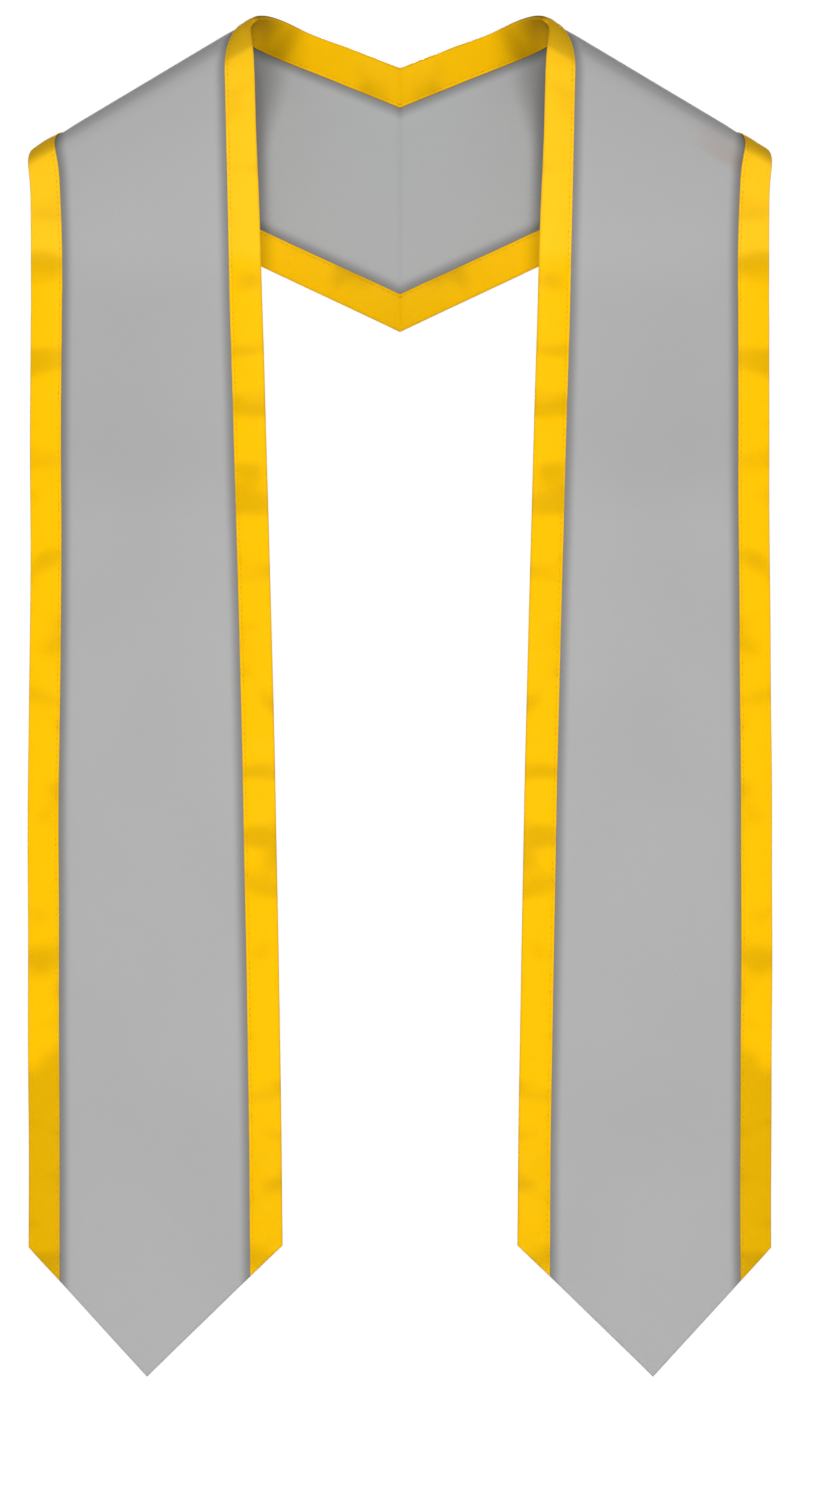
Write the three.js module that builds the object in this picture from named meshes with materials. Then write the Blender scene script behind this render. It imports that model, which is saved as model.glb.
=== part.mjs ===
// Graduation stole in its worn form: two mirrored bands that meet in a seam at the centre
// back, each with a satin binding folded over its neck edge and over its outer edge.
// Millimetres, +Z up, the chest towards -Y. The origin is the nape: the neck edge of the
// back seam. Left and right are as seen from the front.
import * as THREE from "three";

const { degToRad, lerp } = THREE.MathUtils;

// Cut of one band
const bandWidth = 142.6; // across the band at the hem
const frontLength = 687.6; // neck edge, from the shoulder line down to the hem
const pointDrop = 72; // from the hem's corners down to its point
const pointPlace = 0.528; // the point's place across the hem, as a share from the neck edge
const bindingWidth = 17.9; // each side of the folded binding

// How it sits on the wearer
const neckHalfWidth = 78; // from the centre to the neck edge on the shoulder line
const napeDrop = 27.4; // from that neck edge down to the nape
const shoulderSlope = degToRad(30.85); // fall of the shoulder line towards the arm
const rollRadius = 26; // bend over the shoulder, measured beside the neck
const chestLength = 230; // cloth from the shoulder line to where the front hangs plumb
const bladeLength = 72; // cloth from the shoulder line to where the back hangs plumb
const armTaper = 0.4; // share by which the depth shrinks from the centre to the arm

// Cloth
const panelWall = 1.2;
const bindingWall = 1.0;
const clearance = 0.3; // between layers, and between the two halves at the seam

// The bend over the shoulder ends where the cloth leans this far from plumb, in degrees
const rollFront = bendOverShoulder(28);
const rollBack = bendOverShoulder(20);

// The seam is upright on the wearer, so in the flat cloth it is that line turned over the
// shoulder line, with the cloth that the bend takes up added between them.
const seamEnd = seamEndLaidFlat();

// The band goes through these sections, from the hem up, over the shoulder and down the
// back. Height is that of the neck edge above the shoulder line, in the cloth laid flat.
// Neck is the neck edge's distance from the centre, width the band's, neckTrim and outerTrim
// the bindings', and neckFacing that of the neck binding's side towards the wearer, each as a
// share of its named size. Slant is the section's fall towards the arm, as a share of the
// shoulder's, and point the share of the hem's point.
const sections = [
  { name: "hem", height: -frontLength, neck: 0.686, width: 1, slant: -0.064,
    neckTrim: 1, neckFacing: 1, outerTrim: 1, point: 1, steps: 3 },
  { name: "knee", height: -0.91 * frontLength, neck: 0.695, width: 0.995, slant: 0,
    neckTrim: 1, neckFacing: 1, outerTrim: 1, point: 0, steps: 2 },
  { name: "thigh", height: -0.68 * frontLength, neck: 0.728, width: 0.978, slant: 0,
    neckTrim: 1, neckFacing: 1, outerTrim: 1, point: 0, steps: 2 },
  { name: "waist", height: -0.49 * frontLength, neck: 0.77, width: 0.949, slant: 0,
    neckTrim: 1, neckFacing: 1, outerTrim: 1, point: 0, steps: 3 },
  { name: "ribs", height: -0.284 * frontLength, neck: 0.821, width: 0.917, slant: 0.3,
    neckTrim: 1, neckFacing: 1, outerTrim: 1, point: 0, steps: 2 },
  { name: "chest", height: -0.186 * frontLength, neck: 0.852, width: 0.9, slant: 0.65,
    neckTrim: 0.97, neckFacing: 1, outerTrim: 1, point: 0, steps: 2 },
  { name: "collarbone", height: -0.12 * frontLength, neck: 0.888, width: 0.881, slant: 1,
    neckTrim: 0.91, neckFacing: 1, outerTrim: 1, point: 0, steps: 3 },
  { name: "front of roll", height: -rollFront.height, neck: 0.931, width: 0.868, slant: 1,
    neckTrim: 0.88, neckFacing: 1, outerTrim: 0.92, point: 0, steps: 5 },
  { name: "shoulder line", height: 0, neck: 1.012, width: 0.852, slant: 1,
    neckTrim: 0.42, neckFacing: 1, outerTrim: 0.82, point: 0, steps: 6 },
  { name: "back of roll", height: rollBack.height, neck: 1.021, width: 0.868, slant: 1,
    neckTrim: 1.14, neckFacing: 1.14, outerTrim: 1, point: 0, steps: 4 },
  { name: "shoulder blade", height: lerp(rollBack.height, seamEnd.height, 0.5), neck: 0.982,
    width: 0.897, slant: 0, neckTrim: 1.11, neckFacing: 1.11, outerTrim: 1, point: 0, steps: 4 },
  { name: "centre seam", height: seamEnd.height, neck: seamEnd.neck, width: 0.89,
    slant: seamEnd.slant, neckTrim: 1.075, neckFacing: 1.075, outerTrim: 1.02, point: 0, steps: 0 },
];

function bendOverShoulder(lean) {
  const cloth = rollRadius * degToRad(90 - lean);
  return { lean, cloth, height: cloth / Math.cos(shoulderSlope) };
}

// Lean of the cloth from plumb, at each distance from the shoulder line
function frontProfile() {
  return [
    { name: "shoulder line", at: 0, lean: 90 },
    { name: "front of roll", at: rollFront.cloth, lean: rollFront.lean },
    { name: "collarbone", at: 0.3 * chestLength, lean: 20 },
    { name: "chest", at: 0.65 * chestLength, lean: 10 },
    { name: "plumb", at: chestLength, lean: 0 },
  ];
}

function backProfile() {
  return [
    { name: "shoulder line", at: 0, lean: 90 },
    { name: "back of roll", at: rollBack.cloth, lean: rollBack.lean },
    { name: "plumb", at: bladeLength, lean: 0 },
  ];
}

// Walks a profile's arcs for a length of cloth: how far that has fallen below the shoulder
// line, in the plane seen from the front, and how far it has reached out of that plane.
function follow(profile, cloth) {
  let fall = 0;
  let reach = 0;
  for (let i = 1; i < profile.length; i += 1) {
    const [start, end] = [profile[i - 1], profile[i]];
    const turn = degToRad(end.lean - start.lean) / (end.at - start.at);
    const from = degToRad(start.lean);
    const to = from + turn * (Math.min(cloth, end.at) - start.at);
    fall += (Math.sin(to) - Math.sin(from)) / turn;
    reach += (Math.cos(from) - Math.cos(to)) / turn;
    if (cloth <= end.at) return { fall, reach };
  }
  return { fall: fall + cloth - profile.at(-1).at, reach };
}

// Cloth that the back's bend takes up, over what falls in view
function backSlack() {
  return bladeLength - follow(backProfile(), bladeLength).fall;
}

function seamEndLaidFlat() {
  const fromNeck = { across: neckHalfWidth - clearance / 2, down: napeDrop };
  const alongLine = fromNeck.across * Math.cos(shoulderSlope) - fromNeck.down * Math.sin(shoulderSlope);
  const overLine = fromNeck.across * Math.sin(shoulderSlope) + fromNeck.down * Math.cos(shoulderSlope);
  const cloth = overLine + backSlack();
  const x = alongLine * Math.cos(shoulderSlope) - cloth * Math.sin(shoulderSlope);
  const height = alongLine * Math.sin(shoulderSlope) + cloth * Math.cos(shoulderSlope);
  return {
    neck: (neckHalfWidth - x) / neckHalfWidth,
    height,
    slant: -Math.tan(Math.PI / 2 - 2 * shoulderSlope) / Math.tan(shoulderSlope),
  };
}

// The flat cloth goes over the shoulder line of the left half. Along runs up that line to
// the neck and down runs square to it, both seen from the front.
const along = new THREE.Vector2(Math.cos(shoulderSlope), Math.sin(shoulderSlope));
const down = new THREE.Vector2(Math.sin(shoulderSlope), -Math.cos(shoulderSlope));
const neckPoint = new THREE.Vector2(-neckHalfWidth, napeDrop);
const onShoulder = sections.find((row) => row.name === "shoulder line");
const halfSpan = onShoulder.neck * neckHalfWidth + onShoulder.width * bandWidth;
const napeDepth = follow(backProfile(), bladeLength).reach;

function wear(flat) {
  const fromNeck = flat.clone().sub(neckPoint);
  const uAlong = fromNeck.dot(along);
  const vDown = fromNeck.dot(down);
  const folded = neckPoint.x + uAlong * along.x + Math.abs(vDown) * down.x;
  const depth = 1 - armTaper * (folded / halfSpan) ** 2;
  const profile = vDown >= 0 ? frontProfile() : backProfile();
  const { fall, reach } = follow(profile, Math.abs(vDown) / depth);
  const seen = neckPoint.clone().addScaledVector(along, uAlong).addScaledVector(down, fall * depth);
  const side = vDown >= 0 ? -1 : 1;
  return new THREE.Vector3(seen.x, side * reach * depth - napeDepth, seen.y);
}

// A point of the worn cloth, lifted off its middle surface towards the outside
function clothPoint(flat, lift) {
  const step = 0.05;
  const point = wear(flat);
  const across = wear(new THREE.Vector2(flat.x + step, flat.y)).sub(point);
  const up = wear(new THREE.Vector2(flat.x, flat.y + step)).sub(point);
  return point.addScaledVector(across.cross(up).normalize(), lift);
}

// Share is 0 at the neck edge of a section and 1 at its outer edge
function flatPoint(section, share) {
  const run = share * section.width * bandWidth;
  const tent = share < pointPlace ? share / pointPlace : (1 - share) / (1 - pointPlace);
  const fall = section.slant * Math.tan(shoulderSlope) * run + section.point * pointDrop * tent;
  return new THREE.Vector2(-section.neck * neckHalfWidth - run, napeDrop + section.height - fall);
}

// A column's value between rows i and i + 1, on a curve that never overshoots them
function between(rows, i, t, column) {
  const value = (k) => rows[THREE.MathUtils.clamp(k, 0, rows.length - 1)][column];
  const rise = (k) => value(k + 1) - value(k);
  const slopeAt = (k) => {
    const [before, after] = [rise(k - 1), rise(k)];
    return before * after > 0 ? (2 * before * after) / (before + after) : 0;
  };
  const startSlope = i === 0 ? rise(0) : slopeAt(i);
  const endSlope = i === rows.length - 2 ? rise(i) : slopeAt(i + 1);
  const bend = startSlope + endSlope - 2 * rise(i);
  return value(i) + t * startSlope + t * t * (rise(i) - startSlope - bend) + t * t * t * bend;
}

function allSections() {
  const columns = Object.keys(sections[0]).filter((key) => key !== "name" && key !== "steps");
  const list = [];
  sections.forEach((row, i) => {
    for (let k = 0; k < row.steps; k += 1) {
      list.push(Object.fromEntries(columns.map((c) => [c, between(sections, i, k / row.steps, c)])));
    }
  });
  list.push(sections.at(-1));
  return list;
}

// A solid wall between two skins. Each ring gives the skins' points at one section.
function wall(rings) {
  const count = rings[0].outside.length;
  const positions = rings.flatMap((ring) => [...ring.outside, ...ring.inside.toReversed()]);
  const at = (ring, k) => ring * 2 * count + (k % (2 * count));
  const indices = [];
  const quad = (a, b, c, d) => indices.push(a, b, c, a, c, d);
  for (let ring = 0; ring < rings.length - 1; ring += 1) {
    for (let k = 0; k < 2 * count; k += 1) {
      quad(at(ring, k), at(ring + 1, k), at(ring + 1, k + 1), at(ring, k + 1));
    }
  }
  const last = rings.length - 1;
  for (let k = 0; k < count - 1; k += 1) {
    const back = 2 * count - 1 - k;
    quad(at(0, k), at(0, k + 1), at(0, back - 1), at(0, back));
    quad(at(last, k), at(last, back), at(last, back - 1), at(last, k + 1));
  }
  const geometry = new THREE.BufferGeometry().setFromPoints(positions);
  geometry.setIndex(indices);
  geometry.computeVertexNormals();
  return geometry;
}

// The panel reaches to just inside the bindings' folds. Its columns match theirs, so that
// the layers bend alike, and one column ends in the hem's point.
function panelGeometry() {
  const rings = allSections().map((section) => {
    const share = (inset) => inset / (section.width * bandWidth);
    const insets = (trim) =>
      [bindingWall + clearance, (trim * bindingWidth) / 2, trim * bindingWidth].map(share);
    const skin = (neckTrim, lift) => {
      const nearNeck = insets(neckTrim);
      const nearOuter = insets(section.outerTrim).map((s) => 1 - s).reverse();
      const shares = [
        ...nearNeck,
        lerp(nearNeck.at(-1), pointPlace, 0.5),
        pointPlace,
        lerp(pointPlace, nearOuter[0], 0.5),
        ...nearOuter,
      ];
      return shares.map((s) => clothPoint(flatPoint(section, s), lift));
    };
    return {
      outside: skin(section.neckTrim, panelWall / 2),
      inside: skin(section.neckFacing, -panelWall / 2),
    };
  });
  return wall(rings);
}

// A binding is folded over one edge: a deep U of cloth, open towards the panel. Each of its
// skins is listed from the turned edge inside, round the fold, to the turned edge outside.
function bindingGeometry(edge) {
  const inner = panelWall / 2 + clearance;
  const outer = inner + bindingWall;
  const outerSkin = (trim) => [
    { inset: trim, lift: outer },
    { inset: trim / 2, lift: outer },
    { inset: outer / 2, lift: outer },
    { inset: 0, lift: outer / 2 },
  ];
  const innerSkin = (trim) => [
    { inset: trim, lift: inner },
    { inset: trim / 2, lift: inner },
    { inset: bindingWall, lift: inner },
    { inset: bindingWall, lift: inner / 2 },
  ];
  const rings = allSections().map((section) => {
    const place = ({ inset, lift }) => {
      const share = inset / (section.width * bandWidth);
      return clothPoint(flatPoint(section, edge === "neck" ? share : 1 - share), lift);
    };
    const trim = section[`${edge}Trim`] * bindingWidth;
    const facing = edge === "neck" ? section.neckFacing * bindingWidth : trim;
    const roundFold = (skin) => {
      const inside = skin(facing).map(({ inset, lift }) => place({ inset, lift: -lift }));
      const outside = skin(trim).map(place).reverse();
      return edge === "neck" ? [...inside, ...outside] : [...inside, ...outside].reverse();
    };
    return { outside: roundFold(outerSkin), inside: roundFold(innerSkin) };
  });
  return wall(rings);
}

const graySatin = { color: 0xb0b0b0, roughness: 0.62, metalness: 0 };
const goldSatin = { color: 0xffc803, roughness: 0.5, metalness: 0 };

function mesh(name, geometry, finish) {
  const piece = new THREE.Mesh(geometry, new THREE.MeshStandardMaterial(finish));
  piece.name = name;
  return piece;
}

function band(side) {
  const half = new THREE.Group();
  half.add(mesh(`${side}_panel`, panelGeometry(), graySatin));
  half.add(mesh(`${side}_neck_binding`, bindingGeometry("neck"), goldSatin));
  half.add(mesh(`${side}_outer_binding`, bindingGeometry("outer"), goldSatin));
  half.scale.x = side === "left" ? 1 : -1;
  return half;
}

const stole = new THREE.Group();
stole.add(band("left"), band("right"));

export default stole;
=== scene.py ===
# Graduation stole in its worn form: gray satin bands with gold satin bindings, made around the
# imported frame. Metres, +Z up, the chest towards -Y. Left and right are as seen from the front.
import math
import random
from functools import partial

import bmesh
import bpy
from mathutils import Matrix, Vector


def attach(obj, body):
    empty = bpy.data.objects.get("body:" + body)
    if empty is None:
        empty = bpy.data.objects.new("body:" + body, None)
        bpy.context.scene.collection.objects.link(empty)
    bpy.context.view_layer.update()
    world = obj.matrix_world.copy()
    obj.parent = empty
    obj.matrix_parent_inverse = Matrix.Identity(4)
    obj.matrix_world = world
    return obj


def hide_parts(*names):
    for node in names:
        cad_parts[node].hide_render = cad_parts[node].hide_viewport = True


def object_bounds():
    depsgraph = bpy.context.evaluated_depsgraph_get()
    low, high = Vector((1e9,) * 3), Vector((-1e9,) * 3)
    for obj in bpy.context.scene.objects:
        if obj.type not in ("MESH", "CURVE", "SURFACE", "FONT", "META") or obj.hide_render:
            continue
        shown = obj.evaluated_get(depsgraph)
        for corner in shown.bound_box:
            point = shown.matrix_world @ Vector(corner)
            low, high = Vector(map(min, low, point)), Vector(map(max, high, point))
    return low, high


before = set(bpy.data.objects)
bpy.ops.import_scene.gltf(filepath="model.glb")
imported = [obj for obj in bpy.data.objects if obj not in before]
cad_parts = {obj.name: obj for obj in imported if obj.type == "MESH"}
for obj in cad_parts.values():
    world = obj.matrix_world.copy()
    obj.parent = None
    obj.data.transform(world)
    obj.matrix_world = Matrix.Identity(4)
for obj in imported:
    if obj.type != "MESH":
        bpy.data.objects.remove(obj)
cad_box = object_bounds()

MM = 0.001
OUTSIDE, INSIDE = 1, -1  # the cloth's sides, away from the wearer and towards them

# Cut of one band
BAND_WIDTH = 142.6 * MM
FRONT_LENGTH = 687.6 * MM
POINT_DROP = 72 * MM
POINT_PLACE = 0.528  # the hem's point, as a share of the width from the neck edge
BINDING_WIDTH = 17.9 * MM

# How it sits on the wearer
NECK_HALF_WIDTH = 78 * MM
NAPE_DROP = 27.4 * MM
SHOULDER_SLOPE = math.radians(30.85)
ROLL_RADIUS = 26 * MM
CHEST_LENGTH = 230 * MM
BLADE_LENGTH = 72 * MM
ARM_TAPER = 0.4

# Cloth
PANEL_HALF_WALL = 0.6 * MM
PANEL_PUFF = 0.35 * MM  # how far the satin stands proud between the bindings
PUFF_REACH = 10 * MM  # from a binding to where it does so fully
BINDING_WALL = 0.9 * MM
LAYER_GAP = 0.06 * MM
EDGE_INSET = 1.5 * MM  # from a binding's fold to the panel's edge inside it
STITCH_INSET = 1.6 * MM  # from a binding's turned edge to its row of stitches
STITCH_GROOVE = 0.22 * MM
STITCH_SPACING = 3.2 * MM
STITCH_SIZE = (1.15 * MM, 0.24 * MM, 0.2 * MM)  # half its length, width and height
BESIDE_BINDING = (-5, -2, -0.8, 0, 0.8, 1.8, 3, 5, 8, 12)  # mm, where the panel has columns
HALF_SPANS = 11  # columns from there to the hem's point
GROOVE_PROFILE = ((0.9, 0), (0.4, 0.6), (0, 1), (-0.4, 0.6), (-1.1, 0))  # mm aside, share deep
CROWN_PROFILE = ((0.8, 0.12), (0.6, 0.2), (0.4, 0.2), (0.2, 0.1))  # share across, mm high
SEAM_DIP = 0.28 * MM
SEAM_REACH = 0.9 * MM
ROW_STEP = 3.2 * MM
FAR = 1.0  # further from the hem than anything reaches that depends on it
END_ROWS = (0.25 * MM, 0.6 * MM, 1.2 * MM, 2.2 * MM)  # more rows, from the hem and the seam
END_WALL = 0.25  # share of its thickness that the cloth keeps at the very end
NARROW_WIDTH = 0.86  # about the width of the narrow sections, as a share of the band's
CUT_SPANS = 12  # columns across the cut when its flat area is measured
MERGE = 0.0001 * MM  # points as close as this are one

# Waves of the worn cloth: height, how far they may slant, and cycles for each metre
WAVES = (
    (0.9 * MM, 0.25, 3.1),
    (0.55 * MM, 0.5, 5.3),
    (0.3 * MM, 0.8, 9.5),
)
WAVES_BELOW_LINE = (20 * MM, 160 * MM)  # where they start and are full, under the shoulder line

# Ripples where the stitches gather a binding: height, and cycles for each metre
RIPPLES = (
    (0.16 * MM, 31),
    (0.1 * MM, 57),
    (0.06 * MM, 101),
)
RIPPLE_SLANT = 0.45
RIPPLE_SHIFT = {"neck": 0, "outer": 0.37}  # share of a cycle

# Over the shoulder, the leans in degrees from plumb where a piece starts to take painted shade and
# a duller finish, and where both are full
SHADE_AND_DULL_LEANS = {"band": (40, 56), "neck": (25, 34), "outer": (34, 52)}

# Inside the back a painted shade deepens towards the fold, where the front bands would shadow
# it. For each cloth: the distance from the fold up to which it is full, and where it is gone, low
# down and at the nape. Then its share low down, what is left at the seam, low down and at the
# nape, and its share at the very fold, where the front bands shade it already.
NECK_FOLD = 80.6 * MM  # from the centre to the edge where the front bands hide the back
FOLD_HEIGHTS = (-50 * MM, 0)  # low down, and at the nape
FOLD_SHADES = {
    "band": {
        "full": 2.5 * MM, "gone_low": 11 * MM, "gone_high": 24 * MM, "low_share": 1,
        "seam_low": 0.14, "seam_high": 0.14, "at_fold": 1,
    },
    "binding": {
        "full": 4 * MM, "gone_low": 12 * MM, "gone_high": 35 * MM, "low_share": 0.25,
        "seam_low": 0.36, "seam_high": 0.22, "at_fold": 0.7,
    },
}
EASE_AT_FOLD = 8 * MM
REST_OF_BACK = 0.14  # share of the deep painted shade that the inside of the back has everywhere
UNDER_SHOULDER = 45 * MM  # past the fold, where the tone has faded out
BEHIND_LINE = (-1 * MM, 3 * MM)  # behind the shoulder line, where the tone starts and is full
UPPER_EDGE = 0.6  # the tone goes over the upper edge, to where that faces back by this share

# Painted shade on the gray beside each binding: where it is darkest and where it is plain again,
# and its tone there
BINDING_SHADE = (-0.5 * MM, 7.4 * MM)
BINDING_SHADE_TONE = 0.54

# How much darker a cloth is where each painted attribute of it is full: painted shade, except for
# the gold's darkening towards the hem
GRAY_DEPTHS = {"shaded": 0.06, "over_fold": 0.17, "shade_in_fold": 0.54}
THREAD_DEPTHS = {"over_fold": 0.36, "shade_in_fold": 0.595}
GOLD_DEPTHS = {"darker_low": 0.24, **THREAD_DEPTHS}
DULL_ROUGHNESS = 0.95  # where the cloth bends over the shoulder

# The satin weave, and the soft patches on the cloth
THREADS_PER_METRE = 2200.0
SLUB_STRETCH = 0.16  # a slub's width, as a share of its length
SLUB_SCALE = 0.7
SLUB_RANGE = (0.2, 0.8)
RIDGE_SHARE = 0.25
WEAVE_DEPTH = 0.06 * MM
PATCH_FULL = 0.72  # noise where a patch is at its darkest

# The photograph's frame
FRAME_WIDTH_PX, FRAME_HEIGHT_PX = 814, 1498
PIXEL = 0.5457 * MM
SEAM_COLUMN_PX, NAPE_ROW_PX = 400, 68
CAMERA_DISTANCE = 2

# The studio
FLOOR_RADIUS = 6
FLOOR_BELOW = 1.6
SKY_RISE = (0.1, 0.8)  # how far up a direction points where the sky starts to weaken, and has


def lerp(start, end, share):
    return start + (end - start) * share


def smooth_step(low, high, value):
    share = min(max((value - low) / (high - low), 0), 1)
    return share * share * (3 - 2 * share)


def bend_over_shoulder(lean):
    cloth = ROLL_RADIUS * math.radians(90 - lean)
    return {"lean": lean, "cloth": cloth, "height": cloth / math.cos(SHOULDER_SLOPE)}


ROLL_FRONT = bend_over_shoulder(28)
ROLL_BACK = bend_over_shoulder(20)

# Distance from the shoulder line, and the cloth's lean from plumb there in degrees
FRONT_PROFILE = [
    (0, 90),
    (ROLL_FRONT["cloth"], ROLL_FRONT["lean"]),
    (0.3 * CHEST_LENGTH, 20),
    (0.65 * CHEST_LENGTH, 10),
    (CHEST_LENGTH, 0),
]
BACK_PROFILE = [
    (0, 90),
    (ROLL_BACK["cloth"], ROLL_BACK["lean"]),
    (BLADE_LENGTH, 0),
]


def follow(profile, cloth):
    """How far a length of cloth has fallen below the shoulder line, and reached out from it."""
    fall = reach = 0.0
    for (start_at, start_lean), (end_at, end_lean) in zip(profile, profile[1:]):
        turn = math.radians(end_lean - start_lean) / (end_at - start_at)
        start = math.radians(start_lean)
        end = start + turn * (min(cloth, end_at) - start_at)
        fall += (math.sin(end) - math.sin(start)) / turn
        reach += (math.cos(start) - math.cos(end)) / turn
        if cloth <= end_at:
            return fall, reach
    return fall + cloth - profile[-1][0], reach


def seam_end():
    """The centre seam laid flat: the upright seam turned over the shoulder line."""
    sine, cosine = math.sin(SHOULDER_SLOPE), math.cos(SHOULDER_SLOPE)
    slack = BLADE_LENGTH - follow(BACK_PROFILE, BLADE_LENGTH)[0]
    along_line = NECK_HALF_WIDTH * cosine - NAPE_DROP * sine
    cloth = NECK_HALF_WIDTH * sine + NAPE_DROP * cosine + slack
    x = along_line * cosine - cloth * sine
    return {
        "neck": (NECK_HALF_WIDTH - x) / NECK_HALF_WIDTH,
        "height": along_line * sine + cloth * cosine,
        "slant": -math.tan(math.pi / 2 - 2 * SHOULDER_SLOPE) / math.tan(SHOULDER_SLOPE),
    }


SEAM_END = seam_end()
BLADE_HEIGHT = (ROLL_BACK["height"] + SEAM_END["height"]) / 2

# Sections of the cut, from the hem over the shoulder to the centre seam. Height is the neck
# edge's above the shoulder line. The rest are shares of the named sizes that they scale. The
# facing is the neck binding's side towards the wearer.
COLUMNS = (
    "name", "height", "neck", "width", "slant", "neck_trim", "neck_facing", "outer_trim", "point"
)
SECTIONS = [
    dict(zip(COLUMNS, row))
    for row in (
        ("hem", -FRONT_LENGTH, 0.686, 1, -0.064, 1, 1, 1, 1),
        ("knee", -0.91 * FRONT_LENGTH, 0.695, 0.995, 0, 1, 1, 1, 0),
        ("thigh", -0.68 * FRONT_LENGTH, 0.728, 0.978, 0, 1, 1, 1, 0),
        ("waist", -0.49 * FRONT_LENGTH, 0.77, 0.949, 0, 1, 1, 1, 0),
        ("ribs", -0.284 * FRONT_LENGTH, 0.821, 0.917, 0.3, 1, 1, 1, 0),
        ("chest", -0.186 * FRONT_LENGTH, 0.852, 0.9, 0.65, 0.97, 1, 1, 0),
        ("collarbone", -0.12 * FRONT_LENGTH, 0.888, 0.881, 1, 0.91, 1, 1, 0),
        ("front of roll", -ROLL_FRONT["height"], 0.931, 0.868, 1, 0.88, 1, 0.92, 0),
        ("shoulder line", 0, 1.012, 0.852, 1, 0.42, 1, 0.82, 0),
        ("back of roll", ROLL_BACK["height"], 1.021, 0.868, 1, 1.14, 1.14, 1, 0),
        ("shoulder blade", BLADE_HEIGHT, 0.982, 0.897, 0, 1.11, 1.11, 1, 0),
        ("centre seam", SEAM_END["height"], SEAM_END["neck"], 0.89, SEAM_END["slant"],
         1.075, 1.075, 1.02, 0),
    )
]
LAST_STRETCH = len(SECTIONS) - 2  # the stretch between the last two sections
ON_SHOULDER = next(section for section in SECTIONS if section["name"] == "shoulder line")

ALONG = Vector((math.cos(SHOULDER_SLOPE), math.sin(SHOULDER_SLOPE)))
DOWN = Vector((math.sin(SHOULDER_SLOPE), -math.cos(SHOULDER_SLOPE)))
NECK_POINT = Vector((-NECK_HALF_WIDTH, NAPE_DROP))
HALF_SPAN = ON_SHOULDER["neck"] * NECK_HALF_WIDTH + ON_SHOULDER["width"] * BAND_WIDTH
NAPE_DEPTH = follow(BACK_PROFILE, BLADE_LENGTH)[1]


def from_shoulder_line(flat):
    """A flat point's place along and below the shoulder line, and its share of the depth."""
    from_neck = flat - NECK_POINT
    along, down = from_neck.dot(ALONG), from_neck.dot(DOWN)
    folded = NECK_POINT.x + along * ALONG.x + abs(down) * DOWN.x
    return along, down, 1 - ARM_TAPER * (folded / HALF_SPAN) ** 2


def wear(flat):
    """Where a point of the left band's flat cloth goes when it is laid over the shoulder."""
    along, down, depth = from_shoulder_line(flat)
    fall, reach = follow(FRONT_PROFILE if down >= 0 else BACK_PROFILE, abs(down) / depth)
    seen = NECK_POINT + along * ALONG + fall * depth * DOWN
    side = -1 if down >= 0 else 1
    return Vector((seen.x, side * reach * depth - NAPE_DEPTH, seen.y))


def lean_at(flat):
    """The cloth's lean from plumb in degrees, at a point of the flat cut."""
    _, down, depth = from_shoulder_line(flat)
    cloth = abs(down) / depth
    profile = FRONT_PROFILE if down >= 0 else BACK_PROFILE
    for (start_at, start_lean), (end_at, end_lean) in zip(profile, profile[1:]):
        if cloth <= end_at:
            return lerp(start_lean, end_lean, (cloth - start_at) / (end_at - start_at))
    return 0


def worn_point(flat, lift):
    """A point of the worn cloth, lifted off its middle surface towards the outside."""
    step = 0.05 * MM
    point = wear(flat)
    across = wear(flat + Vector((step, 0))) - point
    up = wear(flat + Vector((0, step))) - point
    return point + lift * across.cross(up).normalized()


def flat_point(section, from_neck):
    """A point of the cut, so far from the section's neck edge."""
    width = section["width"] * BAND_WIDTH
    share = from_neck / width
    tent = share / POINT_PLACE if share < POINT_PLACE else (1 - share) / (1 - POINT_PLACE)
    fall = section["slant"] * math.tan(SHOULDER_SLOPE) * from_neck
    fall += section["point"] * POINT_DROP * tent
    return Vector(
        (-section["neck"] * NECK_HALF_WIDTH - from_neck, NAPE_DROP + section["height"] - fall)
    )


def between(i, t, column):
    """A column's value a share t of the way from section i to the next, on a curve that never
    overshoots them."""

    def rise(k):
        return SECTIONS[k + 1][column] - SECTIONS[k][column]

    def slope(k):
        before, after = rise(k - 1), rise(k)
        return 2 * before * after / (before + after) if before * after > 0 else 0

    start = rise(0) if i == 0 else slope(i)
    end = rise(i) if i == LAST_STRETCH else slope(i + 1)
    bend = start + end - 2 * rise(i)
    return SECTIONS[i][column] + t * start + t * t * (rise(i) - start - bend) + t**3 * bend


def section_at(i, t, from_hem):
    """The cut's section there, with its distance from the hem if that is near."""
    return {column: between(i, t, column) for column in COLUMNS[1:]} | {"from_hem": from_hem}


def cut_rows():
    """Rows across the cut every few millimetres, closer together at the hem and the seam."""
    rows = []
    for i, (start, end) in enumerate(zip(SECTIONS, SECTIONS[1:])):
        length = max(
            (flat_point(start, share * BAND_WIDTH) - flat_point(end, share * BAND_WIDTH)).length
            for share in (0, POINT_PLACE, NARROW_WIDTH)
        )
        steps = math.ceil(length / ROW_STEP)
        places = {k / steps for k in range(steps)}
        if i == 0:
            places |= {inset / length for inset in END_ROWS}
        if i == LAST_STRETCH:
            places |= {1 - inset / length for inset in END_ROWS}
        rows += [section_at(i, t, t * length if i == 0 else FAR) for t in sorted(places)]
    rows.append(section_at(LAST_STRETCH, 1, FAR))
    return rows


ROWS = cut_rows()


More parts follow.
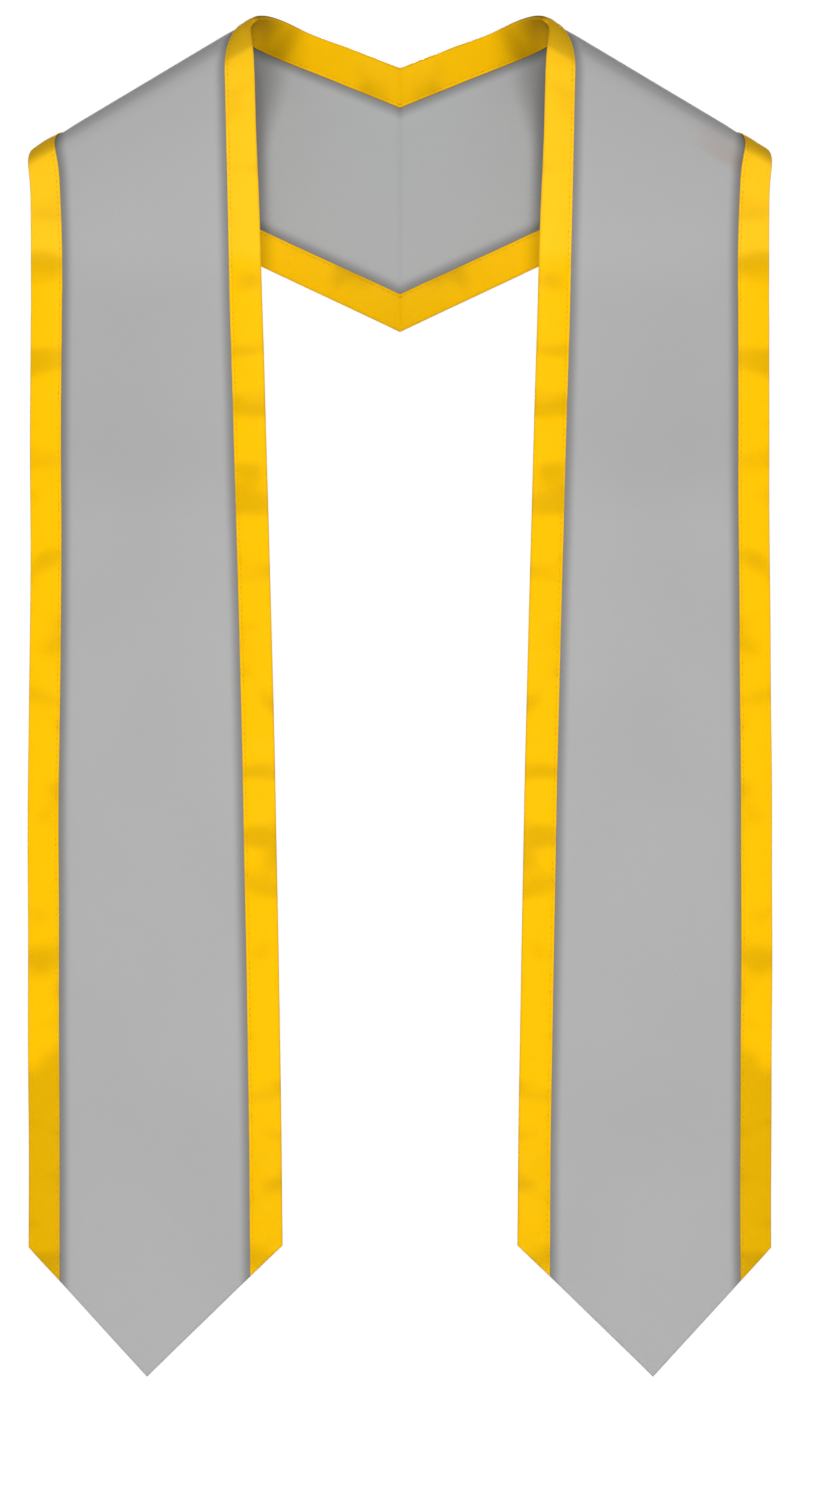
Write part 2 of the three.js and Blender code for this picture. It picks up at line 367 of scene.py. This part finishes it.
class Drape:
    """Small uneven waves of the worn satin, different on each side."""

    def __init__(self, seed):
        draw = random.Random(seed)
        self.waves = [
            (height, draw.uniform(-lean, lean), cycles * draw.uniform(0.85, 1.15), draw.random())
            for height, lean, cycles in WAVES
        ]
        self.ripples = [
            (height, cycles * draw.uniform(0.9, 1.1), draw.random()) for height, cycles in RIPPLES
        ]

    def billow(self, flat):
        """The band's waves on its front. They die away towards the shoulder line."""
        grown = smooth_step(*WAVES_BELOW_LINE, (flat - NECK_POINT).dot(DOWN))
        return grown * sum(
            height * math.sin(math.tau * (cycles * (flat.y + lean * flat.x) + phase))
            for height, lean, cycles, phase in self.waves
        )

    def ripple(self, flat, shift):
        """The binding's own ripples, where its stitches gather it."""
        down = flat.y + RIPPLE_SLANT * flat.x
        return sum(
            height * math.sin(math.tau * (cycles * down + phase + shift))
            for height, cycles, phase in self.ripples
        )


def end_rounding(row):
    """Share of its thickness that the cloth has near the rounded hem."""
    radius = END_ROWS[-1]
    inset = min(row["from_hem"], radius)
    return lerp(END_WALL, 1, math.sqrt(1 - (1 - inset / radius) ** 2))


def seam_dip(point):
    return SEAM_DIP * math.exp(-((point.x / SEAM_REACH) ** 2))


def binding_widths(row, edge):
    """A binding's width on the outside of the cloth, and on the inside."""
    outside = row[edge + "_trim"] * BINDING_WIDTH
    inside = row["neck_facing"] * BINDING_WIDTH if edge == "neck" else outside
    return {OUTSIDE: outside, INSIDE: inside}


def panel_insets(row, side):
    """Insets from the neck edge across the panel, close together beside the bindings."""
    width = row["width"] * BAND_WIDTH
    beside = [d * MM for d in BESIDE_BINDING]
    near_neck = [EDGE_INSET] + [binding_widths(row, "neck")[side] + d for d in beside]
    near_outer = [EDGE_INSET] + [binding_widths(row, "outer")[side] + d for d in beside]
    point = POINT_PLACE * width
    first, last = near_neck[-1], width - near_outer[-1]
    middle = [first + (point - first) * k / HALF_SPANS for k in range(1, HALF_SPANS)]
    middle += [point + (last - point) * k / HALF_SPANS for k in range(HALF_SPANS)]
    return near_neck + middle + [width - inset for inset in reversed(near_outer)]


def panel_ring(row, drape):
    """Places round a section of the gray panel: the outside, its outer edge and the inside.
    Each has its point of the cut, its distances from the bindings, and its side of the cloth."""
    width = row["width"] * BAND_WIDTH
    ring = []
    for side in (OUTSIDE, INSIDE):
        neck_trim, outer_trim = (binding_widths(row, edge)[side] for edge in ("neck", "outer"))
        insets = panel_insets(row, side)
        for inset in insets if side == OUTSIDE else insets[::-1]:
            flat = flat_point(row, inset)
            trims = (inset - neck_trim, width - outer_trim - inset)
            half_wall = PANEL_HALF_WALL + PANEL_PUFF * smooth_step(0, PUFF_REACH, min(trims))
            wall = half_wall * end_rounding(row) - seam_dip(wear(flat))
            place = worn_point(flat, drape.billow(flat) + side * wall)
            ring.append((place, flat, trims, side))
    return ring


def on_circle(radius, degrees):
    return Vector((math.cos(math.radians(degrees)), math.sin(math.radians(degrees)))) * radius


def binding_side(width):
    """One side of a folded binding, as insets from its fold and lifts off the panel's middle:
    the outer skin from the turned edge to the fold, and the inner skin."""
    low = PANEL_HALF_WALL + LAYER_GAP
    high = low + BINDING_WALL
    radius = BINDING_WALL / 2
    turned_edge = [
        Vector((width - radius, low + radius)) + on_circle(radius, a) for a in (-60, -20, 20, 60)
    ]
    groove = width - STITCH_INSET
    stitched = [
        (groove + aside * MM, high - depth * STITCH_GROOVE) for aside, depth in GROOVE_PROFILE
    ]
    last = stitched[-1][0]
    crowned = [
        (high + (last - high) * share, high + crown * MM) for share, crown in CROWN_PROFILE
    ]
    fold = [(high - turn.x, turn.y) for turn in (on_circle(high, a) for a in (90, 67, 45, 22))]
    inner = [(width * share, low) for share in (0.9, 0.6, 0.3)]
    inner += [(high - turn.x, turn.y) for turn in (on_circle(low, a) for a in (90, 45))]
    return turned_edge + stitched + crowned + fold, inner


def binding_profile(widths):
    """Round a folded binding, from its turned edge outside to the one inside and back."""
    outside, under_outside = binding_side(widths[OUTSIDE])
    inside, under_inside = binding_side(widths[INSIDE])
    inside = [(inset, -lift) for inset, lift in reversed(inside)]
    under_inside = [(inset, -lift) for inset, lift in under_inside]
    return outside + [(0, 0)] + inside + under_inside + [(BINDING_WALL, 0)] + under_outside[::-1]


def binding_ring(row, drape, edge):
    """Places round a section of a binding, over the neck edge or the outer edge."""
    width = row["width"] * BAND_WIDTH
    widths = binding_widths(row, edge)
    thin = end_rounding(row)
    ring = []
    for inset, lift in binding_profile(widths):
        flat = flat_point(row, inset if edge == "neck" else width - inset)
        side = OUTSIDE if lift > 0 else INSIDE
        trim = widths[side]
        loose = math.sin(math.pi * min(max(inset / trim, 0), 1))
        crown = loose * drape.ripple(flat, RIPPLE_SHIFT[edge]) * side
        height = lift * thin - math.copysign(seam_dip(wear(flat)), lift) + crown
        place = worn_point(flat, drape.billow(flat) + height)
        ring.append((place, flat, (inset, trim - inset), OUTSIDE if lift >= 0 else INSIDE))
    return ring


def shade_and_dullness_over_shoulder(leans, flat, side):
    """How much painted shade, and how much duller a finish, the outside of the cloth has where it
    bends over the shoulder.
    """
    return smooth_step(*leans, lean_at(flat)) if side == OUTSIDE else 0


def cloth_body(name, rings, mirror, shade_and_dull_leans):
    """Closed body through the rings, with the cut as its UV map and its ends filled."""
    columns = len(rings[0])
    bm = bmesh.new()
    bmesh.ops.create_grid(bm, x_segments=columns, y_segments=len(rings) - 1, size=1)
    # Painted shade where the cloth bends over the shoulder, which also makes its finish duller
    # there
    over_fold = bm.verts.layers.float.new("over_fold")
    places = {}
    for index, vert in enumerate(bm.verts):
        row, column = divmod(index, columns + 1)
        place, flat, trims, side = rings[row][column % columns]
        vert.co = (mirror * place.x, place.y, place.z)
        vert[over_fold] = shade_and_dullness_over_shoulder(shade_and_dull_leans, flat, side)
        places[index] = (flat, trims)
    cut = bm.loops.layers.uv.new("cut")
    from_trims = bm.loops.layers.uv.new("from_trims")
    for face in bm.faces:
        face.smooth = True
        for loop in face.loops:
            flat, trims = places[loop.vert.index]
            loop[cut].uv = flat
            loop[from_trims].uv = trims
    bmesh.ops.remove_doubles(bm, verts=bm.verts, dist=MERGE)
    ends = [edge for edge in bm.edges if edge.is_boundary]
    for edge in ends:
        edge.smooth = False
    bmesh.ops.holes_fill(bm, edges=ends, sides=0)
    bmesh.ops.recalc_face_normals(bm, faces=bm.faces)
    return finished(name, bm)


def finished(name, bm):
    mesh = bpy.data.meshes.new(name)
    bm.to_mesh(mesh)
    bm.free()
    piece = bpy.data.objects.new(name, mesh)
    bpy.context.scene.collection.objects.link(piece)
    return piece


def stitch_row(bm, drape, edge, side, mirror):
    """One row of stitches along a binding's turned edge, on the outside or the inside."""
    over_fold = bm.verts.layers.float["over_fold"]
    lift = PANEL_HALF_WALL + LAYER_GAP + BINDING_WALL - STITCH_GROOVE
    line = []
    for row in ROWS[1:-1]:
        inset = binding_widths(row, edge)[side] - STITCH_INSET
        flat = flat_point(row, inset if edge == "neck" else row["width"] * BAND_WIDTH - inset)
        low = worn_point(flat, drape.billow(flat) + side * lift)
        normal = (worn_point(flat, 1 * MM) - worn_point(flat, 0)).normalized()
        # The stitches take the binding's painted shade and duller finish over the shoulder
        line.append((low, normal, shade_and_dullness_over_shoulder(SHADE_AND_DULL_LEANS[edge], flat, side)))
    walked, due = 0.0, STITCH_SPACING
    for (start, normal, dull), (end, _, _) in zip(line, line[1:]):
        length = (end - start).length
        while due <= walked + length:
            middle = start.lerp(end, (due - walked) / length)
            ahead = (end - start).normalized()
            sideways = normal.cross(ahead).normalized()
            upright = ahead.cross(sideways)
            turn = Matrix((ahead, sideways, upright)).transposed().to_4x4()
            mirrored = Matrix.Scale(mirror, 4, (1, 0, 0))
            size = Matrix.Diagonal((*STITCH_SIZE, 1))
            place = mirrored @ Matrix.Translation(middle) @ turn @ size
            stitch = bmesh.ops.create_icosphere(bm, subdivisions=1, radius=1, matrix=place)
            for vert in stitch["verts"]:
                vert[over_fold] = dull
            due += STITCH_SPACING
        walked += length


def stitches(name, drape, edge, mirror):
    bm = bmesh.new()
    bm.verts.layers.float.new("over_fold")
    for side in (OUTSIDE, INSIDE):
        stitch_row(bm, drape, edge, side, mirror)
    for face in bm.faces:
        face.smooth = True
    bmesh.ops.recalc_face_normals(bm, faces=bm.faces)
    return finished(name, bm)


def add_node(tree, kind, inputs=(), **settings):
    """A shader node, with its inputs given by name or number as values or other sockets."""
    made = tree.nodes.new("ShaderNode" + kind)
    for key, value in settings.items():
        setattr(made, key, value)
    for key, value in dict(inputs).items():
        if isinstance(value, bpy.types.NodeSocket):
            tree.links.new(value, made.inputs[key])
        else:
            made.inputs[key].default_value = value
    return made


def math_node(tree, operation, *values):
    return add_node(tree, "Math", enumerate(values), operation=operation).outputs[0]


def new_group(name, inputs, outputs):
    """A shader group with named sockets: its tree, its input sockets and its output node."""
    tree = bpy.data.node_groups.new(name, "ShaderNodeTree")
    for socket, kind, value in inputs:
        made = tree.interface.new_socket(socket, in_out="INPUT", socket_type="NodeSocket" + kind)
        if value is not None:
            made.default_value = value
    for socket, kind in outputs:
        tree.interface.new_socket(socket, in_out="OUTPUT", socket_type="NodeSocket" + kind)
    return tree, tree.nodes.new("NodeGroupInput").outputs, tree.nodes.new("NodeGroupOutput")


def satin_weave_group():
    """Long parallel floats of a satin weave, with slubs along the threads."""
    tree, given, out = new_group(
        "satin weave",
        [("Cut", "Vector", None), ("Threads per metre", "Float", THREADS_PER_METRE)],
        [("Height", "Float"), ("Slub", "Float")],
    )
    threads = add_node(
        tree, "VectorMath", {0: given["Cut"], 3: given["Threads per metre"]}, operation="SCALE"
    )
    parts = add_node(tree, "SeparateXYZ", {0: threads.outputs[0]})
    ridge = math_node(tree, "SINE", math_node(tree, "MULTIPLY", parts.outputs["X"], math.tau))
    long_floats = add_node(tree, "CombineXYZ", {
        "X": parts.outputs["X"],
        "Y": math_node(tree, "MULTIPLY", parts.outputs["Y"], SLUB_STRETCH),
    })
    slub = add_node(tree, "TexNoise", {
        "Vector": long_floats.outputs[0], "Scale": SLUB_SCALE, "Detail": 2,
    })
    height = math_node(tree, "MULTIPLY_ADD", ridge, RIDGE_SHARE, slub.outputs["Fac"])
    tree.links.new(height, out.inputs["Height"])
    tree.links.new(slub.outputs["Fac"], out.inputs["Slub"])
    return tree


def soft_mottle_group():
    """Soft uneven patches of a given size: 1 on plain cloth, less where it is darker."""
    tree, given, out = new_group(
        "soft mottle",
        [("Vector", "Vector", None), ("Patches per metre", "Float", 30.0),
         ("Start", "Float", 0.5), ("Depth", "Float", 0.1)],
        [("Tone", "Float")],
    )
    noise = add_node(tree, "TexNoise", {
        "Vector": given["Vector"], "Scale": given["Patches per metre"], "Detail": 1,
        "Roughness": 0.4,
    })
    patch = add_node(tree, "MapRange", {
        "Value": noise.outputs["Fac"], "From Min": given["Start"], "From Max": PATCH_FULL,
    }, interpolation_type="SMOOTHSTEP")
    darker = math_node(tree, "MULTIPLY", patch.outputs[0], given["Depth"])
    tone = math_node(tree, "SUBTRACT", 1.0, darker)
    tree.links.new(tone, out.inputs["Tone"])
    return tree


SATIN_WEAVE = satin_weave_group()
SOFT_MOTTLE = soft_mottle_group()


def use_group(tree, group, inputs):
    return add_node(tree, "Group", inputs, node_tree=group).outputs


def new_material(name, roughness, specular):
    material = bpy.data.materials.new(name)
    material.use_nodes = True
    tree = material.node_tree
    shader = tree.nodes["Principled BSDF"]
    shader.inputs["Roughness"].default_value = roughness
    shader.inputs["Specular IOR Level"].default_value = specular
    return material, tree, shader


def cut_coordinates(tree, name):
    return add_node(tree, "UVMap", uv_map=name).outputs["UV"]


def tinted(tree, colour, tone):
    """A colour made lighter or darker by a value that changes over the cloth."""
    scaled = add_node(tree, "VectorMath", {0: colour, 3: tone}, operation="SCALE")
    return scaled.outputs[0]


def painted(tree, attribute):
    """The amount of an attribute that is painted on the piece."""
    return add_node(tree, "Attribute", attribute_name=attribute).outputs["Fac"]


def darker_where_painted(tree, tone, depths):
    """The tone, lowered by the depth of each painted attribute as far as that is full."""
    for attribute, depth in depths.items():
        darker = math_node(tree, "MULTIPLY", painted(tree, attribute), depth)
        kept = math_node(tree, "SUBTRACT", 1.0, darker)
        tone = math_node(tree, "MULTIPLY", tone, kept)
    return tone


def mixed(tree, amount, plain, other):
    """The plain colour, going over to the other where the amount is full."""
    inputs = {"Factor": amount, "A": plain, "B": other}
    mix = add_node(tree, "Mix", inputs, data_type="RGBA")
    return next(socket for socket in mix.outputs if socket.type == "RGBA")


def duller_over_fold(tree, shader):
    """Roughness of the plain satin, rising to a dull one where it bends over the shoulder."""
    roughness = add_node(tree, "MapRange", {
        "Value": painted(tree, "over_fold"),
        "To Min": shader.inputs["Roughness"].default_value, "To Max": DULL_ROUGHNESS,
    })
    tree.links.new(roughness.outputs[0], shader.inputs["Roughness"])


def slub_tone(tree, weave, spread):
    """A tone of about 1 that changes a little from thread to thread."""
    low, high = SLUB_RANGE
    return add_node(tree, "MapRange", {
        "Value": weave["Slub"], "From Min": low, "From Max": high,
        "To Min": 1 - spread, "To Max": 1 + spread,
    }).outputs[0]


def weave_bump(tree, shader, weave):
    bump = add_node(tree, "Bump", {
        "Height": weave["Height"], "Strength": 0.5, "Distance": WEAVE_DEPTH,
    })
    tree.links.new(bump.outputs[0], shader.inputs["Normal"])


GRAY = (0.385, 0.385, 0.385, 1)
GRAY_INSIDE = (0.377, 0.389, 0.401, 1)  # cooler, since the gold round the neck opening warms it
STAIN = (0.366, 0.325, 0.303, 1)
GOLD = (0.92, 0.505, 0.0008, 1)
GOLD_HIGHLIGHT = (0.96, 0.545, 0.011, 1)
THREAD = (0.85, 0.45, 0.001)
GOLD_GLEAM = (1.0, 0.75, 0.1, 1)


def gray_satin():
    """Gray satin, with painted shade beside each binding, over the shoulder, inside the back's
    fold and where the front leaves the chest.
    """
    material, tree, shader = new_material("gray_satin", roughness=0.5, specular=0.25)
    duller_over_fold(tree, shader)
    cut = cut_coordinates(tree, "cut")
    weave = use_group(tree, SATIN_WEAVE, {"Cut": cut})
    mottle = use_group(tree, SOFT_MOTTLE, {
        "Vector": cut, "Patches per metre": 9.0, "Start": 0.4, "Depth": 0.035,
    })
    trims = add_node(tree, "SeparateXYZ", {0: cut_coordinates(tree, "from_trims")})
    nearest = math_node(tree, "MINIMUM", trims.outputs["X"], trims.outputs["Y"])
    # Painted shade beside each binding, where the satin dips to meet it
    binding_shade = add_node(tree, "MapRange", {
        "Value": nearest, "From Min": BINDING_SHADE[0], "From Max": BINDING_SHADE[1],
        "To Min": BINDING_SHADE_TONE, "To Max": 1.0,
    }, interpolation_type="SMOOTHERSTEP")
    tone = math_node(tree, "MULTIPLY", mottle["Tone"], binding_shade.outputs[0])
    tone = math_node(tree, "MULTIPLY", tone, slub_tone(tree, weave, 0.015))
    # Painted shade over the shoulder, inside the back's fold and where the front leaves the chest
    tone = darker_where_painted(tree, tone, GRAY_DEPTHS)
    # Where the painted shade inside the back reaches its share for the whole back, the gray goes
    # over to the cooler inside gray
    inside = add_node(tree, "MapRange", {
        "Value": painted(tree, "shade_in_fold"), "From Max": REST_OF_BACK,
    })
    colour = mixed(tree, inside.outputs[0], GRAY, GRAY_INSIDE)
    colour = mixed(tree, painted(tree, "stain"), colour, STAIN)
    tree.links.new(tinted(tree, colour, tone), shader.inputs["Base Color"])
    weave_bump(tree, shader, weave)
    return material


def gold_satin():
    """Gold satin: soft darker patches painted as the shade of its ripples, darker towards the hem,
    a painted highlight high on the front, and painted shade at the fold.
    """
    material, tree, shader = new_material("gold_satin", roughness=0.45, specular=0.2)
    duller_over_fold(tree, shader)
    shader.inputs["Specular Tint"].default_value = GOLD_GLEAM
    cut = cut_coordinates(tree, "cut")
    weave = use_group(tree, SATIN_WEAVE, {"Cut": cut})
    # Soft slanted darker patches: painted shade of the binding's ripples
    slanted = add_node(tree, "Mapping", {
        "Vector": cut, "Rotation": (0, 0, math.radians(24)), "Scale": (0.7, 1.25, 1),
    })
    mottle = use_group(tree, SOFT_MOTTLE, {
        "Vector": slanted.outputs[0], "Patches per metre": 34.0, "Start": 0.5, "Depth": 0.2,
    })
    tone = math_node(tree, "MULTIPLY", mottle["Tone"], slub_tone(tree, weave, 0.02))
    # Darker towards the hem, and painted shade over the shoulder and inside the back's fold
    tone = darker_where_painted(tree, tone, GOLD_DEPTHS)
    # The gold goes lighter where a highlight is painted high on the front
    colour = mixed(tree, painted(tree, "painted_highlight"), GOLD, GOLD_HIGHLIGHT)
    tree.links.new(tinted(tree, colour, tone), shader.inputs["Base Color"])
    weave_bump(tree, shader, weave)
    return material


def gold_thread():
    """Twisted thread of the stitches, a little deeper than the satin."""
    material, tree, shader = new_material("gold_thread", roughness=0.6, specular=0.2)
    place = add_node(tree, "TexCoord").outputs["Object"]
    mottle = use_group(tree, SOFT_MOTTLE, {
        "Vector": place, "Patches per metre": 400.0, "Start": 0.4, "Depth": 0.25,
    })
    # Painted shade over the shoulder and inside the back's fold, as on the bindings
    tone = darker_where_painted(tree, mottle["Tone"], THREAD_DEPTHS)
    tree.links.new(tinted(tree, THREAD, tone), shader.inputs["Base Color"])
    return material


GRAY_SATIN, GOLD_SATIN, GOLD_THREAD = gray_satin(), gold_satin(), gold_thread()


def paint(piece, name, amount):
    """A float attribute on the piece's points, worked out from where each one is worn."""
    layer = piece.data.attributes.new(name, "FLOAT", "POINT")
    layer.data.foreach_set("value", [amount(v.co, v.normal) for v in piece.data.vertices])


def on_front(point):
    return point.y < -NAPE_DEPTH


def lower_down(start, full, point):
    """0 above the height where it starts, and 1 below the one where it is full."""
    return smooth_step(-start, -full, -point.z)


def shade_in_fold(tones, point, normal):
    """Painted shade inside the back where it goes into the fold, also on its upper edge there."""
    from_fold = NECK_FOLD - abs(point.x)
    if normal.y > (UPPER_EDGE if from_fold > 0 else 0):
        return 0
    behind_line = smooth_step(*BEHIND_LINE, point.y + NAPE_DEPTH)
    height = smooth_step(*FOLD_HEIGHTS, point.z)
    gone = lerp(tones["gone_low"], tones["gone_high"], height)
    share = lerp(tones["low_share"], 1, height)
    eased = lerp(tones["at_fold"], 1, smooth_step(0, EASE_AT_FOLD, from_fold))
    deep = eased * share * (1 - smooth_step(tones["full"], gone, from_fold))
    at_seam = lerp(tones["seam_low"], tones["seam_high"], height)
    rest = lerp(REST_OF_BACK, at_seam, max(from_fold / NECK_FOLD, 0))
    seen = smooth_step(-UNDER_SHOULDER, 0, from_fold)
    return behind_line * seen * lerp(rest, 1, deep)


# The faint stain on the right shoulder, a wedge beside the outer binding: seen from the front,
# the two ends of its lower edge, and how far it reaches up from there
STAIN_TIP = Vector((158 * MM, -40 * MM))
STAIN_FOOT = Vector((187 * MM, -58 * MM))
STAIN_DEPTH = 20 * MM
STAIN_SOFT_EDGE = 1.5 * MM  # along the lower edge
STAIN_SOFT_TIP = 0.12  # share of the length
STAIN_AT_TIP = 0.25
STAIN_PLATEAU = 0.15  # share of the depth before it fades


def stain_at(point, _normal):
    """Strongest along the wedge's lower edge, and gone above it and below it."""
    edge = STAIN_FOOT - STAIN_TIP
    from_tip = Vector((point.x, point.z)) - STAIN_TIP
    along = from_tip.dot(edge) / edge.length_squared
    above = edge.normalized().cross(from_tip)
    if above < 0 or along < 0 or not on_front(point):
        return 0
    towards_foot = min(STAIN_AT_TIP + along, 1) * smooth_step(0, STAIN_SOFT_TIP, along)
    fade = 1 - smooth_step(STAIN_PLATEAU * STAIN_DEPTH, STAIN_DEPTH, above)
    return towards_foot * fade * smooth_step(0, STAIN_SOFT_EDGE, above)


# Painted shade on the gray where the front leaves the chest and leans less towards the light: the
# heights where that starts and is full, and where it starts to go and is gone
CHEST_SHADE = ((-90 * MM, -130 * MM), (-200 * MM, -260 * MM))


def shaded_at(point, _normal):
    coming, going = CHEST_SHADE
    return on_front(point) * lower_down(*coming, point) * (1 - lower_down(*going, point))


# Where each binding gets darker towards the hem: the heights where that starts and is full, and
# how much
DARKER_TOWARDS_HEM = {
    "outer": (-540 * MM, -552 * MM, 0.9),
    "neck": (-560 * MM, -600 * MM, 0.25),
}


def darker_towards_hem_at(edge, point, _normal):
    start, full, amount = DARKER_TOWARDS_HEM[edge]
    return amount * lower_down(start, full, point)


# Painted highlight on the gold, down to here on the front, where it leans and catches the most
# light
HIGHLIGHT_DOWN_TO = (-98 * MM, -108 * MM)


def highlight_at(point, _normal):
    return on_front(point) * (1 - lower_down(*HIGHLIGHT_DOWN_TO, point))


def dress(piece, material):
    piece.data.materials.append(material)
    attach(piece, "root")


def panel_cut():
    """The panel's flat cut inside the bindings' folds: its width, length and area."""
    grid = []
    for row in ROWS:
        low, high = EDGE_INSET, row["width"] * BAND_WIDTH - EDGE_INSET
        insets = [low + (high - low) * k / CUT_SPANS for k in range(CUT_SPANS + 1)]
        grid.append([flat_point(row, inset) for inset in insets])
    area = 0.0
    for lower, upper in zip(grid, grid[1:]):
        for k in range(CUT_SPANS):
            area += abs((lower[k + 1] - upper[k]).cross(upper[k + 1] - lower[k])) / 2
    xs = [p.x for points in grid for p in points]
    ys = [p.y for points in grid for p in points]
    return max(xs) - min(xs), max(ys) - min(ys), area


def binding_length(edge):
    points = [
        flat_point(row, 0 if edge == "neck" else row["width"] * BAND_WIDTH) for row in ROWS
    ]
    return sum((b - a).length for a, b in zip(points, points[1:]))


def make_band(name, mirror, seed):
    """One half of the stole: its gray panel, its two folded bindings and their stitches."""
    drape = Drape(seed)
    rings = [panel_ring(row, drape) for row in ROWS]
    panel = cloth_body(f"{name}_gray_band", rings, mirror, SHADE_AND_DULL_LEANS["band"])
    paint(panel, "stain", stain_at)
    paint(panel, "shade_in_fold", partial(shade_in_fold, FOLD_SHADES["band"]))
    paint(panel, "shaded", shaded_at)
    dress(panel, GRAY_SATIN)
    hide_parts(f"{name}_panel")
    width, length, area = panel_cut()
    for edge in ("neck", "outer"):
        rings = [binding_ring(row, drape, edge) for row in ROWS]
        binding = cloth_body(f"{name}_{edge}_trim", rings, mirror, SHADE_AND_DULL_LEANS[edge])
        paint(binding, "darker_low", partial(darker_towards_hem_at, edge))
        paint(binding, "shade_in_fold", partial(shade_in_fold, FOLD_SHADES["binding"]))
        paint(binding, "painted_highlight", highlight_at)
        dress(binding, GOLD_SATIN)
        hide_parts(f"{name}_{edge}_binding")
        seams = stitches(f"{name}_{edge}_stitches", drape, edge, mirror)
        paint(seams, "shade_in_fold", partial(shade_in_fold, FOLD_SHADES["binding"]))
        dress(seams, GOLD_THREAD)
        tape = 2 * BINDING_WIDTH
        tape * binding_length(edge)


def make_camera():
    """Straight from the front, with no perspective, as the flat product photograph shows it."""
    data = bpy.data.cameras.new("camera")
    data.type = "ORTHO"
    data.ortho_scale = FRAME_HEIGHT_PX * PIXEL
    camera = bpy.data.objects.new("camera", data)
    bpy.context.scene.collection.objects.link(camera)
    camera.location = (
        (FRAME_WIDTH_PX / 2 - SEAM_COLUMN_PX) * PIXEL,
        -CAMERA_DISTANCE,
        (NAPE_ROW_PX - FRAME_HEIGHT_PX / 2) * PIXEL,
    )
    camera.rotation_euler = (math.radians(90), 0, 0)
    bpy.context.scene.camera = camera


def soft_light(name, place, power, size):
    data = bpy.data.lights.new(name, "AREA")
    data.shape, data.size, data.energy = "DISK", size, power
    light = bpy.data.objects.new(name, data)
    bpy.context.scene.collection.objects.link(light)
    light.location = place
    aim = Vector((0, 0, cad_box[0].z / 2)) - light.location
    light.rotation_euler = aim.to_track_quat("-Z", "Y").to_euler()
    light.visible_camera = False


def make_world(behind, overhead, around):
    """White behind the object, and a soft light around it that is weaker from overhead."""
    world = bpy.data.worlds.new("studio")
    bpy.context.scene.world = world
    world.use_nodes = True
    tree = world.node_tree
    seen = add_node(tree, "LightPath").outputs["Is Camera Ray"]
    direction = add_node(tree, "SeparateXYZ", {0: add_node(tree, "TexCoord").outputs["Generated"]})
    soft = add_node(tree, "MapRange", {
        "Value": direction.outputs["Z"], "From Min": SKY_RISE[0], "From Max": SKY_RISE[1],
        "To Min": around, "To Max": overhead,
    })
    strength = add_node(tree, "MapRange", {
        "Value": seen, "To Min": soft.outputs[0], "To Max": behind,
    })
    tree.links.new(strength.outputs[0], tree.nodes["Background"].inputs["Strength"])
    tree.nodes["Background"].inputs["Color"].default_value = (1, 1, 1, 1)


def make_floor():
    bm = bmesh.new()
    bmesh.ops.create_circle(bm, cap_ends=True, segments=96, radius=FLOOR_RADIUS)
    bmesh.ops.translate(bm, verts=bm.verts, vec=(0, 0, cad_box[0].z - FLOOR_BELOW))
    floor = finished("floor", bm)
    material, _, shader = new_material("pale_floor", roughness=0.9, specular=0.2)
    shader.inputs["Base Color"].default_value = (0.9, 0.9, 0.9, 1)
    floor.data.materials.append(material)


make_camera()
make_floor()
make_world(behind=1.0, overhead=0.08, around=0.16)
soft_light("front light", place=(0, -9, 3), power=735, size=2.7)
soft_light("back light", place=(0, 9, 3), power=735, size=2.7)
soft_light("left light", place=(-3.4, 0, 0.8), power=30, size=1.5)
soft_light("right light", place=(3.4, 0, 0.8), power=30, size=1.5)
make_band("left", mirror=1, seed=5)
make_band("right", mirror=-1, seed=12)
bpy.context.scene.view_settings.view_transform = "Standard"
